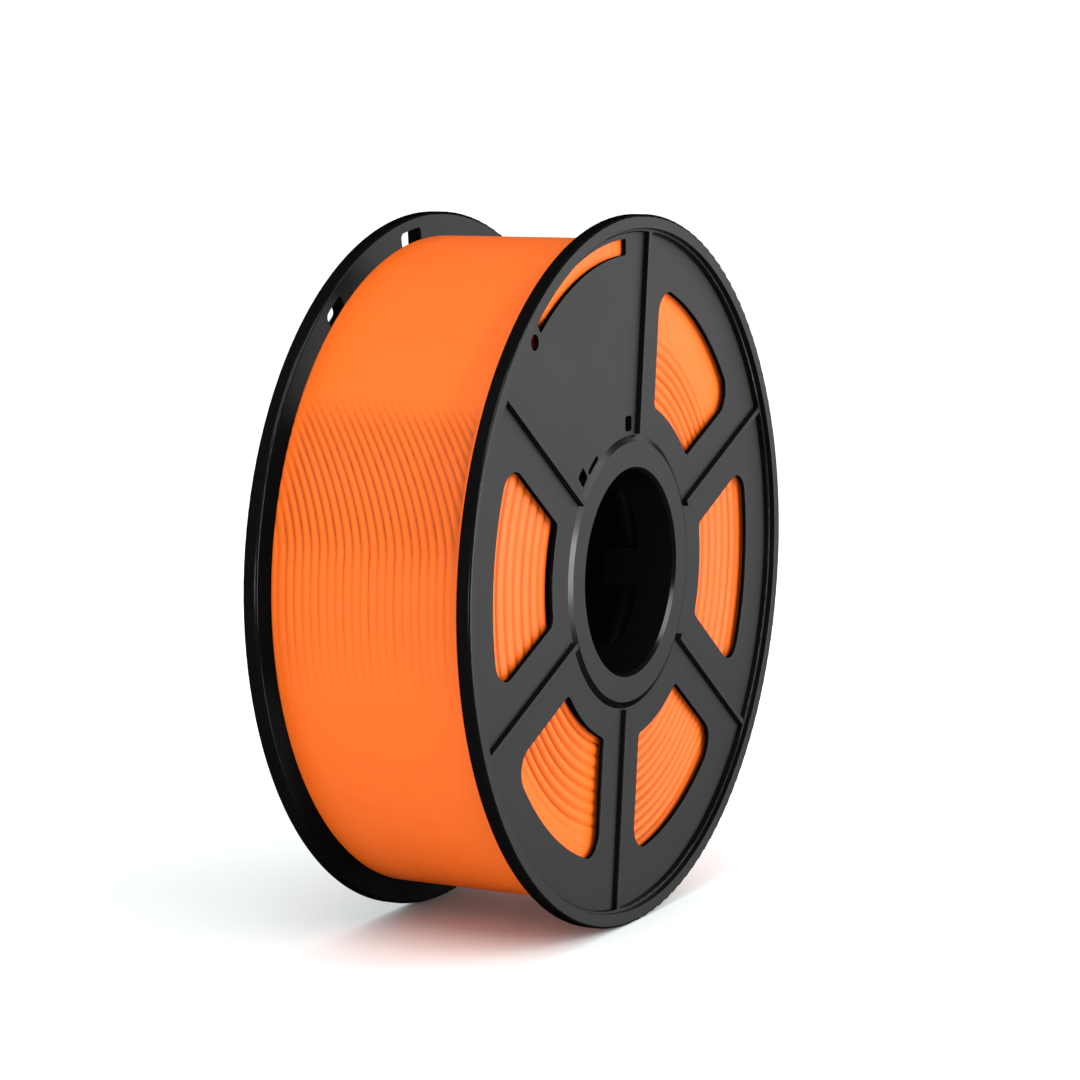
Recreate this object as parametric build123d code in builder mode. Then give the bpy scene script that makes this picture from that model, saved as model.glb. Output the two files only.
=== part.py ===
"""Filament spool, full of filament: two ribbed flanges on a core, pinned by two snap-in hub collars.

The spool's axis is Y and its origin is the middle of that axis. The label side faces -Y and +Z is
up. Angles turn anticlockwise as seen from the label side, from the middle of the first window.
"""

import os
from math import asin, cos, degrees, radians, sin

from build123d import *

os.makedirs("parts", exist_ok=True)

# Driving dimensions, in millimetres and degrees.
RIM_RADIUS = 100.0
SPOOL_WIDTH = 68.2
BORE_RADIUS = 28.7
PATTERN_TURN = -5.6  # how far the whole spool is rolled round its axis at rest

# Flange section: a thin disc with a flat back, and a rim whose lip and ledge stand out past it.
LIP_WIDTH = 4.0
LEDGE_WIDTH = 0.9
LEDGE_DEPTH = 1.5
FACE_DEPTH = 3.15
DISC_THICKNESS = 1.2
RIM_ROUND = 0.8
EDGE_ROUND = 0.3

# Flange pattern: six sectors between six ribs. Five have a window and the sixth takes a label.
SECTORS = 6
FIRST_WINDOW = 180.0
RIB_WIDTH = 2.0
WINDOW_RADII = (47.8, 81.4)
WINDOW_RIB_OFFSET = 11.4  # from a rib's centre line to the side of the window
WINDOW_OUTER_ROUND = 6.5
WINDOW_INNER_ROUND = 2.0

# Holes in the label sector, for the two ends of the filament: radii, and angles.
LEVEL_SLOT_RADII = (88.8, 93.4)
LEVEL_SLOT_ANGLES = (97.8, 133.8)
LEVEL_SLOT_ROUND = 0.8
TAIL_HOLE_RADIUS = 2.2
TAIL_HOLE_PLACE = (89.2, 136.3)
START_HOLE_SIZE = (4.3, 4.0)
START_HOLE_ROUND = 0.8
START_HOLE_PLACES = ((41.9, 97.3), (41.6, 140.8))
START_SLIT_RADII = (39.0, 40.6)
START_SLIT_ANGLES = (126.5, 136.5)
REAR_SLOT_RADII = (89.8, 96.6)
REAR_SLOT_ANGLES = ((102.2, 109.0), (130.9, 136.5))
REAR_SLOT_ROUND = 1.5
REAR_PAD_MARGIN = 1.2  # round each rear slot, the disc is as thick as the lip

# Core, which the filament is wound on. Spigots on the flanges centre it and its webs take hooks.
CORE_RADIUS = 39.5
CORE_WALL = 2.0
WEB_PLACE = 15.0
WEB_THICKNESS = 2.0
SPIGOT_WALL = 1.9
SPIGOT_LENGTH = 4.0
SPIGOT_GAP = 0.15

# Hub collar: a flat head on the flange's face, and a sleeve that ends in hooked fingers.
SLEEVE_WALL = 1.9
SLEEVE_GAP = 0.3
SLEEVE_END = 20.0
HEAD_RADIUS = 38.5
HEAD_THICKNESS = 0.7
HEAD_BEVEL = 1.8
BORE_CHAMFER = 0.9
FINGERS = 6
FINGER_ANGLE = 22.0
FINGER_END = 9.0
HOOK_REACH = 1.1
HOOK_LAND = 0.8
HOOK_GAP = 0.1

# Filament winding, as one closed ring of the wound size. Only its outer turns press on the flanges.
WINDING_RADIUS = 93.2
WINDING_SIDE_GAP = 0.25
WINDING_RECESS = 0.9
WINDING_STEP_RADII = (83.0, 84.5)
WINDING_CORE_GAP = 0.05

# Worked out from the sizes above: places along the axis from the middle, and radii.
lip_y = SPOOL_WIDTH / 2
ledge_y = lip_y - LEDGE_DEPTH
face_y = lip_y - FACE_DEPTH
disc_back_y = face_y - DISC_THICKNESS
spigot_end_y = disc_back_y - SPIGOT_LENGTH
head_y = face_y + HEAD_THICKNESS
hook_y = WEB_PLACE - WEB_THICKNESS / 2 - HOOK_GAP
winding_y = disc_back_y - WINDING_SIDE_GAP
winding_inner_y = winding_y - WINDING_RECESS
lip_radius = RIM_RADIUS - LIP_WIDTH
ledge_radius = lip_radius - LEDGE_WIDTH
core_bore_radius = CORE_RADIUS - CORE_WALL
spigot_radius = core_bore_radius - SPIGOT_GAP
sleeve_radius = BORE_RADIUS + SLEEVE_WALL
hub_hole_radius = sleeve_radius + SLEEVE_GAP
hook_radius = sleeve_radius + HOOK_REACH
rib_inner_radius = HEAD_RADIUS + SLEEVE_GAP
sector_angle = 360 / SECTORS

FRONT, REAR = -1, 1
ALL_THROUGH = SPOOL_WIDTH
TOLERANCE = 0.001

pattern_plane = Plane(
    origin=(0, 0, 0),
    x_dir=(cos(radians(PATTERN_TURN)), 0, sin(radians(PATTERN_TURN))),
    z_dir=(0, -1, 0),
)


def plane_at(side, distance):
    """The pattern's plane, at a distance from the middle towards one side of the spool."""
    return pattern_plane.offset(-side * distance)


def outwards(side, length):
    """The length to extrude a sketch on the pattern's plane by, away from the middle."""
    return -side * length


def polar(radius, angle):
    return radius * cos(radians(angle)), radius * sin(radians(angle))


def arc_slot(radii, angles):
    """Add a curved slot between two radii, whose round ends reach two angles."""
    middle_radius = sum(radii) / 2
    half_width = (radii[1] - radii[0]) / 2
    tip_angle = degrees(half_width / middle_radius)
    middle_line = Edge.make_circle(
        middle_radius,
        start_angle=angles[0] + tip_angle,
        end_angle=angles[1] - tip_angle,
    )
    SlotArc(middle_line, 2 * half_width)


def arc_window(radii, angles, round_radius, margin=0.0):
    """Add a curved opening with straight ends between two radii and angles, grown by a margin."""
    low, high = radii[0] - margin, radii[1] + margin
    spread = degrees(margin / low)
    start, end = angles[0] - spread, angles[1] + spread
    middle = (start + end) / 2
    with BuildSketch(mode=Mode.PRIVATE) as opening:
        with BuildLine():
            Line(polar(low, start), polar(high, start))
            ThreePointArc(polar(high, start), polar(high, middle), polar(high, end))
            Line(polar(high, end), polar(low, end))
            ThreePointArc(polar(low, end), polar(low, middle), polar(low, start))
        make_face()
        fillet(opening.vertices(), round_radius + margin)
    add(opening.sketch)


def window_corner(radius):
    """The corner at a radius, on the side line that runs beside the rib."""
    return polar(radius, sector_angle / 2 - degrees(asin(WINDOW_RIB_OFFSET / radius)))


def at_place(edges, place):
    """The edges that lie on a plane across the axis, at a place along it."""
    return edges.filter_by_position(Axis.Y, place - TOLERANCE, place + TOLERANCE)


def ring_profile(radii, places, side=REAR):
    """Add a rectangle between two radii and two places along the axis, to revolve into a ring."""
    width = radii[1] - radii[0]
    length = places[1] - places[0]
    with Locations((radii[0] + width / 2, side * (places[0] + length / 2))):
        Rectangle(width, length)


with BuildSketch() as window:
    inner_x, inner_z = window_corner(WINDOW_RADII[0])
    outer_x, outer_z = window_corner(WINDOW_RADII[1])
    with BuildLine():
        Line((inner_x, -inner_z), (outer_x, -outer_z))
        ThreePointArc((outer_x, -outer_z), (WINDOW_RADII[1], 0), (outer_x, outer_z))
        Line((outer_x, outer_z), (inner_x, inner_z))
        ThreePointArc((inner_x, inner_z), (WINDOW_RADII[0], 0), (inner_x, -inner_z))
    make_face()
    fillet(window.vertices().group_by(Axis.X)[-1], WINDOW_OUTER_ROUND)
    fillet(window.vertices().group_by(Axis.X)[0], WINDOW_INNER_ROUND)


def revolve_flange(side):
    """The flange's disc, rim, lip, ledge and spigot, as one turned section."""
    section = [
        (hub_hole_radius, face_y),
        (ledge_radius, face_y),
        (ledge_radius, ledge_y),
        (lip_radius, ledge_y),
        (lip_radius, lip_y),
        (RIM_RADIUS, lip_y),
        (RIM_RADIUS, disc_back_y),
        (spigot_radius, disc_back_y),
        (spigot_radius, spigot_end_y),
        (spigot_radius - SPIGOT_WALL, spigot_end_y),
        (spigot_radius - SPIGOT_WALL, disc_back_y),
        (hub_hole_radius, disc_back_y),
    ]
    with BuildSketch(Plane.XY) as turned:
        with BuildLine():
            Polyline([(radius, side * place) for radius, place in section], close=True)
        make_face()
        outermost = turned.vertices().group_by(Axis.X)[-1]
        fillet(outermost, RIM_ROUND)
        lip_corner = turned.vertices().sort_by_distance((lip_radius, side * lip_y))[0]
        ledge_corner = turned.vertices().sort_by_distance((ledge_radius, side * ledge_y))[0]
        fillet([lip_corner, ledge_corner], EDGE_ROUND)
    revolve(turned.sketch, axis=Axis.Y)


def cut_windows(side):
    """Five windows through the disc. The label's sector stays closed."""
    with BuildSketch(plane_at(side, disc_back_y)) as windows:
        with PolarLocations(
            0, SECTORS - 1, start_angle=FIRST_WINDOW, angular_range=360 - sector_angle
        ):
            add(window.sketch)
    extrude(windows.sketch, amount=outwards(side, DISC_THICKNESS), mode=Mode.SUBTRACT)


def make_ribs(side):
    """Six bars with rounded tops, from the collar's head to the rim, level with the ledge."""
    length = ledge_radius - rib_inner_radius + LEDGE_WIDTH / 2
    root = DISC_THICKNESS / 2
    with BuildPart() as ribs:
        with BuildSketch(plane_at(side, face_y - root)):
            with PolarLocations(
                rib_inner_radius + length / 2, SECTORS, start_angle=sector_angle / 2
            ):
                Rectangle(length, RIB_WIDTH)
        extrude(amount=outwards(side, ledge_y - face_y + root))
        top_edges = at_place(ribs.edges(), side * ledge_y)
        fillet(top_edges.filter_by(lambda edge: edge.length > length / 2), EDGE_ROUND)
    return ribs.part


front_ribs = make_ribs(FRONT)
rear_ribs = make_ribs(REAR)

with BuildPart() as front_flange:
    revolve_flange(FRONT)
    cut_windows(FRONT)
    fillet(at_place(front_flange.edges(Select.LAST), -face_y), EDGE_ROUND)
    add(front_ribs)
    with BuildSketch(plane_at(FRONT, spigot_end_y)):
        arc_window(LEVEL_SLOT_RADII, LEVEL_SLOT_ANGLES, LEVEL_SLOT_ROUND)
        with Locations(polar(*TAIL_HOLE_PLACE)):
            Circle(TAIL_HOLE_RADIUS)
        for start_radius, start_angle in START_HOLE_PLACES:
            with Locations(Location((*polar(start_radius, start_angle), 0), (0, 0, start_angle))):
                RectangleRounded(*START_HOLE_SIZE, START_HOLE_ROUND)
        arc_slot(START_SLIT_RADII, START_SLIT_ANGLES)
    extrude(amount=outwards(FRONT, ALL_THROUGH), mode=Mode.SUBTRACT)

with BuildPart() as rear_flange:
    revolve_flange(REAR)
    cut_windows(REAR)
    fillet(at_place(rear_flange.edges(Select.LAST), face_y), EDGE_ROUND)
    add(rear_ribs)
    with BuildSketch(plane_at(REAR, disc_back_y)):
        for slot_angles in REAR_SLOT_ANGLES:
            arc_window(REAR_SLOT_RADII, slot_angles, REAR_SLOT_ROUND, REAR_PAD_MARGIN)
    extrude(amount=outwards(REAR, lip_y - disc_back_y))
    with BuildSketch(plane_at(REAR, spigot_end_y)):
        for slot_angles in REAR_SLOT_ANGLES:
            arc_window(REAR_SLOT_RADII, slot_angles, REAR_SLOT_ROUND)
    extrude(amount=outwards(REAR, ALL_THROUGH), mode=Mode.SUBTRACT)

with BuildPart() as winding_core:
    with BuildSketch(Plane.XY):
        ring_profile((core_bore_radius, CORE_RADIUS), (-disc_back_y, disc_back_y))
        for web_y in (-WEB_PLACE, WEB_PLACE):
            web_places = (web_y - WEB_THICKNESS / 2, web_y + WEB_THICKNESS / 2)
            ring_profile((hub_hole_radius, core_bore_radius), web_places)
    revolve(axis=Axis.Y)


def turn_collar(side):
    """A hub collar: the head and sleeve as one turned section, then the hooked fingers."""
    outline = [
        (BORE_RADIUS, SLEEVE_END),
        (sleeve_radius, SLEEVE_END),
        (sleeve_radius, face_y),
        (HEAD_RADIUS, face_y),
        (HEAD_RADIUS - HEAD_BEVEL, head_y),
        (BORE_RADIUS, head_y),
    ]
    with BuildSketch(Plane.XY) as section:
        with BuildLine():
            Polyline([(radius, side * place) for radius, place in outline], close=True)
        make_face()
        bore_corner = section.vertices().sort_by_distance((BORE_RADIUS, side * head_y))[0]
        chamfer(bore_corner, BORE_CHAMFER)
    revolve(section.sketch, axis=Axis.Y)
    finger = [
        (BORE_RADIUS, SLEEVE_END),
        (sleeve_radius, SLEEVE_END),
        (sleeve_radius, hook_y),
        (hook_radius, hook_y),
        (hook_radius, hook_y - HOOK_LAND),
        (sleeve_radius - SLEEVE_WALL / 2, FINGER_END),
        (BORE_RADIUS, FINGER_END),
    ]
    for number in range(FINGERS):
        start = number * 360 / FINGERS - FINGER_ANGLE / 2 - PATTERN_TURN
        with BuildSketch(Plane.XY.rotated((0, start, 0))) as finger_section:
            with BuildLine():
                Polyline([(radius, side * place) for radius, place in finger], close=True)
            make_face()
        revolve(finger_section.sketch, axis=Axis.Y, revolution_arc=FINGER_ANGLE)


with BuildPart() as front_hub_collar:
    turn_collar(FRONT)

with BuildPart() as rear_hub_collar:
    turn_collar(REAR)

with BuildPart() as filament_winding:
    winding_half = [
        (CORE_RADIUS + WINDING_CORE_GAP, winding_inner_y),
        (WINDING_STEP_RADII[0], winding_inner_y),
        (WINDING_STEP_RADII[1], winding_y),
        (WINDING_RADIUS, winding_y),
    ]
    other_half = [(radius, -place) for radius, place in reversed(winding_half)]
    with BuildSketch(Plane.XY):
        with BuildLine():
            Polyline(winding_half + other_half, close=True)
        make_face()
    revolve(axis=Axis.Y)

pieces = {
    "front_flange": front_flange,
    "rear_flange": rear_flange,
    "winding_core": winding_core,
    "front_hub_collar": front_hub_collar,
    "rear_hub_collar": rear_hub_collar,
    "filament_winding": filament_winding,
}
for name, piece in pieces.items():
    piece.part.label = name
    export_step(piece.part, f"parts/{name}.step")
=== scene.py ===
import math

import bpy
import numpy as np
from mathutils import Matrix, Vector


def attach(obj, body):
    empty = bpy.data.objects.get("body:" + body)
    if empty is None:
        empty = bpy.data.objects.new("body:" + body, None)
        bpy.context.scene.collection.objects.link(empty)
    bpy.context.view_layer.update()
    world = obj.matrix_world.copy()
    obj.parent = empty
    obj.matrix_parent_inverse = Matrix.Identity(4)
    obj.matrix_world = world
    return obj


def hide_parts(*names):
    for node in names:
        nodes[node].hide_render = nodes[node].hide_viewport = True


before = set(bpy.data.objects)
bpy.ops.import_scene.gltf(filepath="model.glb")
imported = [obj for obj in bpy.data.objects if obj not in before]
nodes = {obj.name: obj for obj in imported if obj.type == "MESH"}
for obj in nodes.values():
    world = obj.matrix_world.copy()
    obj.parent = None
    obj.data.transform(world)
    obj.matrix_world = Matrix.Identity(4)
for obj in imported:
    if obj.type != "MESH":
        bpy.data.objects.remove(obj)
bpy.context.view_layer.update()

MM = 0.001


# ---------------------------------------------------------------- camera
CAMERA_AZIMUTH = -61.968
CAMERA_ELEVATION = 7.557
CAMERA_PLACE = (-0.0113, 0.00012, 0.93002)  # metres to the right, up and back of the spool's middle
CAMERA_LENS = 108.65
CAMERA_SHIFT = (0.0444, 0.0228)


def make_camera():
    azimuth, elevation = math.radians(CAMERA_AZIMUTH), math.radians(CAMERA_ELEVATION)
    back = Vector((
        math.sin(azimuth) * math.cos(elevation),
        -math.cos(azimuth) * math.cos(elevation),
        math.sin(elevation),
    ))
    right = Vector((math.cos(azimuth), math.sin(azimuth), 0.0))
    up = back.cross(right)
    data = bpy.data.cameras.new("camera")
    data.sensor_width = 36.0
    data.lens = CAMERA_LENS
    data.shift_x, data.shift_y = CAMERA_SHIFT
    data.clip_start, data.clip_end = 0.05, 200.0
    camera = bpy.data.objects.new("camera", data)
    camera.matrix_world = Matrix((
        (right.x, up.x, back.x, 0),
        (right.y, up.y, back.y, 0),
        (right.z, up.z, back.z, 0),
        (0, 0, 0, 1),
    ))
    to_right, to_up, to_back = CAMERA_PLACE
    camera.location = back * to_back + right * to_right + up * to_up
    bpy.context.scene.collection.objects.link(camera)
    bpy.context.scene.camera = camera


# ---------------------------------------------------------------- materials
def new_material(name):
    material = bpy.data.materials.new(name)
    material.use_nodes = True
    tree = material.node_tree
    tree.nodes.clear()
    output = tree.nodes.new("ShaderNodeOutputMaterial")
    shader = tree.nodes.new("ShaderNodeBsdfPrincipled")
    tree.links.new(shader.outputs["BSDF"], output.inputs["Surface"])
    return material, tree, shader


def noise(tree, coordinates, scale, detail=3.0, roughness=0.5):
    node = tree.nodes.new("ShaderNodeTexNoise")
    node.inputs["Scale"].default_value = scale
    node.inputs["Detail"].default_value = detail
    node.inputs["Roughness"].default_value = roughness
    tree.links.new(coordinates, node.inputs["Vector"])
    return node.outputs["Fac"]


def remap(tree, value, low, high, start=0.3, end=0.7):
    node = tree.nodes.new("ShaderNodeMapRange")
    node.inputs["From Min"].default_value = start
    node.inputs["From Max"].default_value = end
    node.inputs["To Min"].default_value = low
    node.inputs["To Max"].default_value = high
    tree.links.new(value, node.inputs["Value"])
    return node.outputs["Result"]


def blend(tree, factor, first, second):
    node = tree.nodes.new("ShaderNodeMix")
    node.data_type = "RGBA"
    node.inputs["A"].default_value = (*first, 1.0)
    node.inputs["B"].default_value = (*second, 1.0)
    tree.links.new(factor, node.inputs["Factor"])
    return node.outputs["Result"]


def bump(tree, height, distance, strength, below=None):
    node = tree.nodes.new("ShaderNodeBump")
    node.inputs["Distance"].default_value = distance
    node.inputs["Strength"].default_value = strength
    tree.links.new(height, node.inputs["Height"])
    if below is not None:
        tree.links.new(below, node.inputs["Normal"])
    return node.outputs["Normal"]


def outer_faces(tree, place):
    """One on the flat faces that look outwards, nought on walls, edges and inner faces."""
    normal = tree.nodes.new("ShaderNodeTexCoord").outputs["Normal"]
    along, side = (tree.nodes.new("ShaderNodeSeparateXYZ") for _ in range(2))
    tree.links.new(normal, along.inputs["Vector"])
    tree.links.new(place, side.inputs["Vector"])
    outward = tree.nodes.new("ShaderNodeMath")
    outward.operation = "SIGN"
    tree.links.new(side.outputs["Y"], outward.inputs[0])
    facing = tree.nodes.new("ShaderNodeMath")
    facing.operation = "MULTIPLY"
    tree.links.new(outward.outputs[0], facing.inputs[0])
    tree.links.new(along.outputs["Y"], facing.inputs[1])
    return remap(tree, facing.outputs[0], 0.0, 1.0, 0.94, 0.98)


def mix_value(tree, factor, first, second):
    node = tree.nodes.new("ShaderNodeMix")
    tree.links.new(factor, node.inputs["Factor"])
    tree.links.new(first, node.inputs["A"])
    tree.links.new(second, node.inputs["B"])
    return node.outputs["Result"]


def spool_plastic():
    """Black moulded plastic: etch-textured outer faces, and polished walls, edges and inner faces. The
    outer faces' lighter grey is partly painted light, and the inner faces' near-black is painted shade.
    """
    material, tree, shader = new_material("black_spool_plastic")
    place = tree.nodes.new("ShaderNodeTexCoord").outputs["Object"]
    etched_and_painted_light = outer_faces(tree, place)
    patches = noise(tree, place, 60.0)
    # The outer faces get a lighter grey, partly painted light; the inner faces keep the near-black as
    # painted shade.
    color = tree.nodes.new("ShaderNodeMix")
    color.data_type = "RGBA"
    tree.links.new(etched_and_painted_light, color.inputs["Factor"])
    polished = blend(tree, patches, (0.0022, 0.0022, 0.0024), (0.0034, 0.0034, 0.0037))
    tree.links.new(polished, color.inputs["A"])
    matt_and_painted_light = blend(tree, patches, (0.0165, 0.0167, 0.0172), (0.0190, 0.0192, 0.0197))
    tree.links.new(matt_and_painted_light, color.inputs["B"])
    tree.links.new(color.outputs["Result"], shader.inputs["Base Color"])
    streaks = noise(tree, place, 25.0, 4.0)
    gloss = mix_value(tree, etched_and_painted_light, remap(tree, streaks, 0.17, 0.24), remap(tree, streaks, 0.44, 0.52))
    tree.links.new(gloss, shader.inputs["Roughness"])
    grain = bump(tree, noise(tree, place, 2500.0, 2.0), 0.00002, 0.25)
    flow = bump(tree, noise(tree, place, 18.0, 1.0), 0.0002, 0.06, grain)
    tree.links.new(flow, shader.inputs["Normal"])
    shader.inputs["Specular IOR Level"].default_value = 0.22
    return material


def filament():
    """Orange plastic, with painted shade darkening the gaps between turns and the pit at the tail."""
    material, tree, shader = new_material("orange_filament")
    place = tree.nodes.new("ShaderNodeTexCoord").outputs["Object"]
    color = tree.nodes.new("ShaderNodeMix")
    color.data_type = "RGBA"
    # The gap attribute mixes in the dark orange below: painted shade in the gaps between turns and in the
    # pit at the tail.
    gap = tree.nodes.new("ShaderNodeAttribute")
    gap.attribute_name = "gap"
    tree.links.new(gap.outputs["Fac"], color.inputs["Factor"])
    patches = noise(tree, place, 45.0)
    tree.links.new(blend(tree, patches, (0.72, 0.113, 0.0075), (0.76, 0.124, 0.0095)), color.inputs["A"])
    color.inputs["B"].default_value = (0.33, 0.046, 0.002, 1.0)
    tree.links.new(color.outputs["Result"], shader.inputs["Base Color"])
    tree.links.new(remap(tree, noise(tree, place, 120.0, 4.0), 0.40, 0.50), shader.inputs["Roughness"])
    tree.links.new(bump(tree, noise(tree, place, 900.0, 3.0), 0.00005, 0.2), shader.inputs["Normal"])
    shader.inputs["Specular IOR Level"].default_value = 0.2
    return material


# ---------------------------------------------------------------- winding
# Millimetres, and degrees round the axis from +X towards +Z.
STEPS = 720
OUTER = 93.15
INNER = 39.55
OUTER_SIDE = 29.4
SIDE = 28.55
STEP = (83.2, 84.4)  # radii between which the sides step out to the flanges
STRAND = 2.53  # spacing of the outer turns
SHIFT = 13 * STRAND  # how far the outer turns drift along the spool

# Sides, by the middle angle of each window: pitch of the turns, depth of the gaps between them,
# the radius where the gaps have faded out, and how much they deepen towards the window's first edge.
TURNS = {
    54.4: (3.0, 1.1, 73, 0.1),
    174.4: (4.8, 1.1, 110, 0.0),
    234.4: (3.25, 1.5, 79, 0.9),
    294.4: (2.9, 1.0, 90, 0.8),
    354.4: (4.8, 1.1, 110, 0.0),
}
TAIL_PIT = (-54.0, 66.5)  # where the sides are sunk, near the hole for the filament's end
PIT_DEPTH = 10.0
PIT_SPREAD = 18.0
CORE_RECESS = 8.0
CORE_RECESS_RADII = (43.5, 46.5)
# Strength and power of the painted shade in the gaps.
GAP_SHADE_STRENGTH = 1.4
GAP_SHADE_POWER = 1.25


def smooth(x, start, end):
    t = np.clip((x - start) / (end - start), 0, 1)
    return t * t * (3 - 2 * t)


def crown(phase, power):
    return np.abs(np.sin(np.pi * phase)) ** power


def outer_turns(T, Y):
    """Heights of the outer turns, which drift along the spool and then settle
    square to it, and the painted shade for the gaps between them."""
    drift = SHIFT * (np.clip(172 - T, 0, 33) / 33) ** 1.6 * smooth(T, 60, 100)
    drifting = crown((Y - drift) / STRAND, 0.5)
    square = crown((Y - 0.06 * (165 - T)) / STRAND, 0.5)
    by_flange = smooth(-Y, 23, 27)
    gap = 1 - np.maximum(drifting * (1 - 0.75 * by_flange), square * by_flange)
    seen = smooth(T, 143, 152) * (1 - 0.55 * smooth(T, 166, 177)) * (1 - smooth(T, 180, 200))
    seen = seen * (1 - 0.8 * smooth(Y, 25, 29)) * (1 - 0.5 * smooth(-Y, 24, 29))
    hidden = 0.5 * (1 - smooth(T, 40, 70)) + 0.5 * smooth(T, 270, 300)
    lumps = 0.5 * crown(Y / 5.8, 2) * smooth(-Y, 19, 24) * smooth(T, 60, 80) * (1 - smooth(T, 105, 120))
    depth = 0.03 + 0.85 * (seen + hidden)
    return lumps - depth * gap, (seen + hidden) * gap


def side_turns(T, R):
    """How far the sides lie below their top level: between turns, at the core and at the tail,
    and the painted shade for the gaps between turns and for the pit at the tail."""
    sink, gaps = np.zeros_like(T), np.zeros_like(T)
    for middle, (pitch, depth, fade, lean) in TURNS.items():
        across = (T - middle + 180) % 360 - 180
        gap = smooth(np.abs(across), 33, 28) * (1 - crown((R - 46.0) / pitch, 0.4))
        gap = gap * (1 - lean * across / 30) * (1 - smooth(R, fade - 10, fade))
        sink, gaps = sink + depth * gap, gaps + gap
    sink = sink + CORE_RECESS * (1 - smooth(R, *CORE_RECESS_RADII))
    x, z = R * np.cos(np.radians(T)), R * np.sin(np.radians(T))
    pit = np.exp(-((x - TAIL_PIT[0]) ** 2 + (z - TAIL_PIT[1]) ** 2) / PIT_SPREAD)
    # The pit is sunk and also darkened with painted shade through the gap value.
    return sink + PIT_DEPTH * pit, gaps + pit


def make_winding():
    """The winding as one closed ring: its sides, outer layer and inside, with a painted-shade value for the
    gaps at each point.
    """
    degree = np.arange(STEPS) * 360 / STEPS
    y = np.linspace(-OUTER_SIDE, OUTER_SIDE, 241)
    T, Y = np.meshgrid(degree, y, indexing="ij")
    height, outer_gap_shade = outer_turns(T, Y)
    r = OUTER + height
    outer = np.stack([r * np.cos(np.radians(T)), Y, r * np.sin(np.radians(T))], -1)
    radius = np.arange(OUTER - 0.5, INNER + 0.35, -0.35)
    T, R = np.meshgrid(degree, radius, indexing="ij")
    sink, side_gap_shade = side_turns(T, R)
    out = SIDE + (OUTER_SIDE - SIDE) * smooth(R, *STEP) - sink
    front = np.stack([R * np.cos(np.radians(T)), -out, R * np.sin(np.radians(T))], -1)
    rear = front * np.array([1, -1, 1])
    inner_y = np.array([-SIDE + 8.5, 0, SIDE - 8.5])  # just past the recess at the core
    T, Y = np.meshgrid(degree, inner_y, indexing="ij")
    inner = np.stack([INNER * np.cos(np.radians(T)), Y, INNER * np.sin(np.radians(T))], -1)
    loop = np.concatenate([front[:, ::-1], outer, rear, inner[:, ::-1]], axis=1) * MM
    gap = np.concatenate([side_gap_shade[:, ::-1], outer_gap_shade, side_gap_shade, np.zeros((STEPS, 3))], axis=1)
    steps, count = loop.shape[:2]
    step = np.arange(steps)[:, None]
    place = np.arange(count)[None, :]
    next_step, next_place = (step + 1) % steps, (place + 1) % count
    corners = ((step, place), (step, next_place), (next_step, next_place), (next_step, place))
    faces = np.stack(np.broadcast_arrays(*(row * count + column for row, column in corners)), -1)
    mesh = bpy.data.meshes.new("wound_filament")
    mesh.from_pydata(loop.reshape(-1, 3).tolist(), [], faces.reshape(-1, 4).tolist())
    mesh.polygons.foreach_set("use_smooth", [True] * len(mesh.polygons))
    mesh.update()
    # The gap attribute is painted shade: the material darkens the gaps between turns and the tail pit with
    # it.
    gap = GAP_SHADE_STRENGTH * np.clip(gap, 0, 1) ** GAP_SHADE_POWER
    mesh.attributes.new("gap", "FLOAT", "POINT").data.foreach_set("value", np.clip(gap, 0, 1).ravel())
    piece = bpy.data.objects.new("wound_filament", mesh)
    bpy.context.scene.collection.objects.link(piece)
    return piece


# ---------------------------------------------------------------- studio
FLOOR = -0.1  # the height that the rims stand on, in metres
AWAY = 1.6  # from the spool's middle to each light


def area_light(name, direction, size, radiance, along=(0, 0, 1)):
    data = bpy.data.lights.new(name, "AREA")
    data.shape = "RECTANGLE"
    data.size, data.size_y = size
    data.energy = radiance * math.pi * size[0] * size[1]
    light = bpy.data.objects.new(name, data)
    back = Vector(direction).normalized()
    side = (Vector(along) - back * back.dot(Vector(along))).normalized()
    up = back.cross(side)
    light.matrix_world = Matrix((
        (side.x, up.x, back.x, back.x * AWAY),
        (side.y, up.y, back.y, back.y * AWAY),
        (side.z, up.z, back.z, back.z * AWAY),
        (0, 0, 0, 1),
    ))
    light.visible_camera = False
    bpy.context.scene.collection.objects.link(light)
    return light


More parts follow.
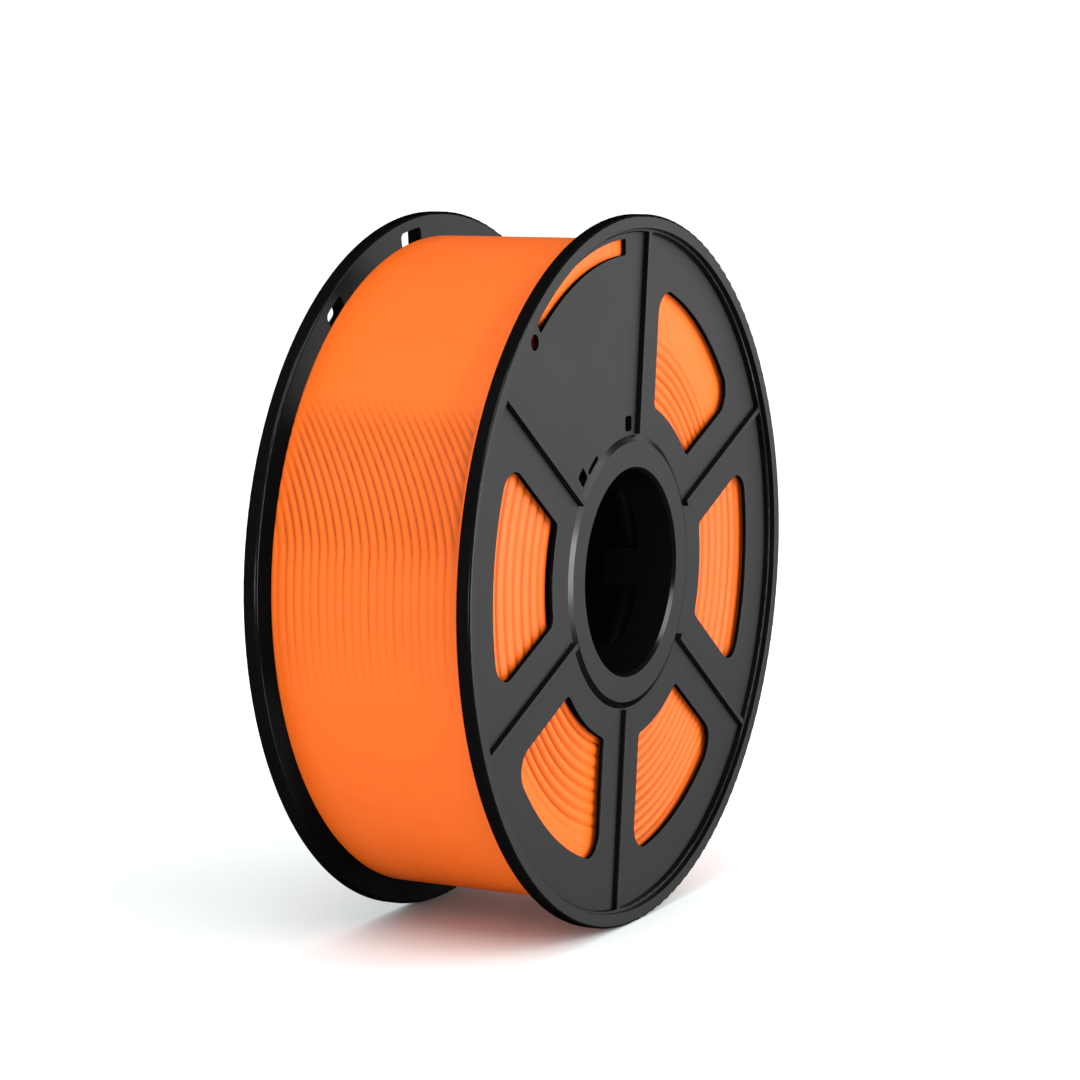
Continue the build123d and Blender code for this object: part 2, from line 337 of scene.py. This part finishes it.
def make_studio():
    floor_mesh = bpy.data.meshes.new("floor")
    corners = [(-30, -30, FLOOR), (30, -30, FLOOR), (30, 30, FLOOR), (-30, 30, FLOOR)]
    floor_mesh.from_pydata(corners, [], [(0, 1, 2, 3)])
    floor = bpy.data.objects.new("floor", floor_mesh)
    bpy.context.scene.collection.objects.link(floor)
    material, tree, shader = new_material("pale_floor_painted_shadow")
    place = tree.nodes.new("ShaderNodeTexCoord").outputs["Object"]
    distance = tree.nodes.new("ShaderNodeVectorMath")
    distance.operation = "LENGTH"
    tree.links.new(place, distance.inputs[0])
    # Darker, cyan-tinted floor near the spool, fading out between 0.15 and 0.26 m from the middle: painted
    # shadow, tinted to cancel the orange bounce light.
    outside_painted_shadow = remap(tree, distance.outputs["Value"], 0.0, 1.0, 0.15, 0.26)
    tree.links.new(blend(tree, outside_painted_shadow, (0.80, 0.85, 0.86), (0.95, 0.95, 0.95)), shader.inputs["Base Color"])
    shader.inputs["Roughness"].default_value = 0.9
    shader.inputs["Specular IOR Level"].default_value = 0.0
    floor_mesh.materials.append(material)
    floor.visible_glossy = False
    floor.visible_shadow = False
    world = bpy.data.worlds.new("world")
    world.use_nodes = True
    background = world.node_tree.nodes["Background"]
    background.inputs["Color"].default_value = (1, 1, 1, 1)
    background.inputs["Strength"].default_value = 1.18
    world.cycles_visibility.glossy = False
    bpy.context.scene.world = world
    area_light("face_softbox", (0.45, -0.88, 0.05), (1.2, 1.2), 3.4)
    area_light("right_softbox", (0.875, -0.466, 0.075), (0.54, 0.9), 1.1)
    area_light("bevel_strip", (0.36, -0.93, -0.04), (0.45, 0.12), 24.0)
    area_light("rim_strip", (-0.15, -0.79, 0.50), (1.3, 0.2), 16.0, (0.573, 0.216, 0.517))
    area_light("key", (-0.60, -0.05, 0.80), (0.8, 0.8), 3.6)
    area_light("low_left", (-0.93, -0.12, -0.04), (0.35, 0.9), 4.5)
    bpy.context.scene.view_settings.view_transform = "Standard"


make_camera()
make_studio()

black = spool_plastic()
orange = filament()
for name, node in nodes.items():
    if name != "filament_winding":
        node.data.materials.clear()
        node.data.materials.append(black)

winding = make_winding()
winding.data.materials.append(orange)
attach(winding, "root")
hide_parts("filament_winding")
winding.visible_glossy = False
